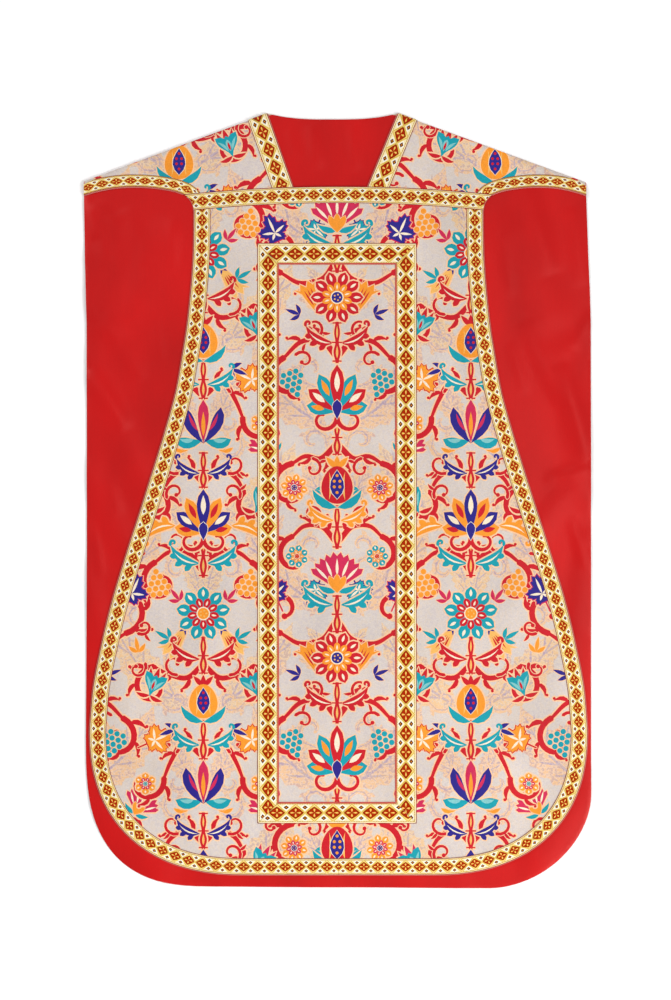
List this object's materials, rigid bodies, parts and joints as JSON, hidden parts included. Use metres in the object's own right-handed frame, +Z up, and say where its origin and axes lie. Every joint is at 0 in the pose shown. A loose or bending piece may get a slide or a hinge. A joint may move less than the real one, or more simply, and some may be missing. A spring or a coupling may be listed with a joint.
{
  "type": "fiddleback chasuble",
  "caption": "Fiddleback chasuble laid flat: fiddle-shaped brocade front on a wider back, satin lining showing at the sides, and galloon braids round the edges, neck, chest and column.",
  "frame": {"origin": "under the middle of the garment, on the surface that it lies on", "axes": "+X across the garment, +Y from the hem to the neck, +Z up from the surface, out of the front"},
  "size_m": [0.7098, 1.085, 0.0085],
  "materials": {
    "brocade": "silver-beige silk brocade with crimson, teal, orange and blue flowers, low sheen",
    "lining_satin": "crimson satin with a soft sheen",
    "galloon_narrow": "woven gold and cream braid with red-brown lozenges, slight metallic sheen",
    "galloon_wide": "woven gold and cream braid with red-brown lozenges, slight metallic sheen"
  },
  "bodies": {
    "root": {"back_panel": "brocade", "back_lining": "lining_satin", "front_panel": "brocade", "shoulder_left": "brocade", "shoulder_right": "brocade", "band_braid": "galloon_narrow", "edge_braid_left": "galloon_narrow", "edge_braid_right": "galloon_narrow", "armhole_braid_left": "galloon_narrow", "armhole_braid_right": "galloon_narrow", "neck_braid_left": "galloon_wide", "neck_braid_right": "galloon_wide", "column_braid_left": "galloon_wide", "column_braid_right": "galloon_wide", "column_braid_top": "galloon_wide", "column_braid_foot": "galloon_wide"}
  },
  "joints": []
}
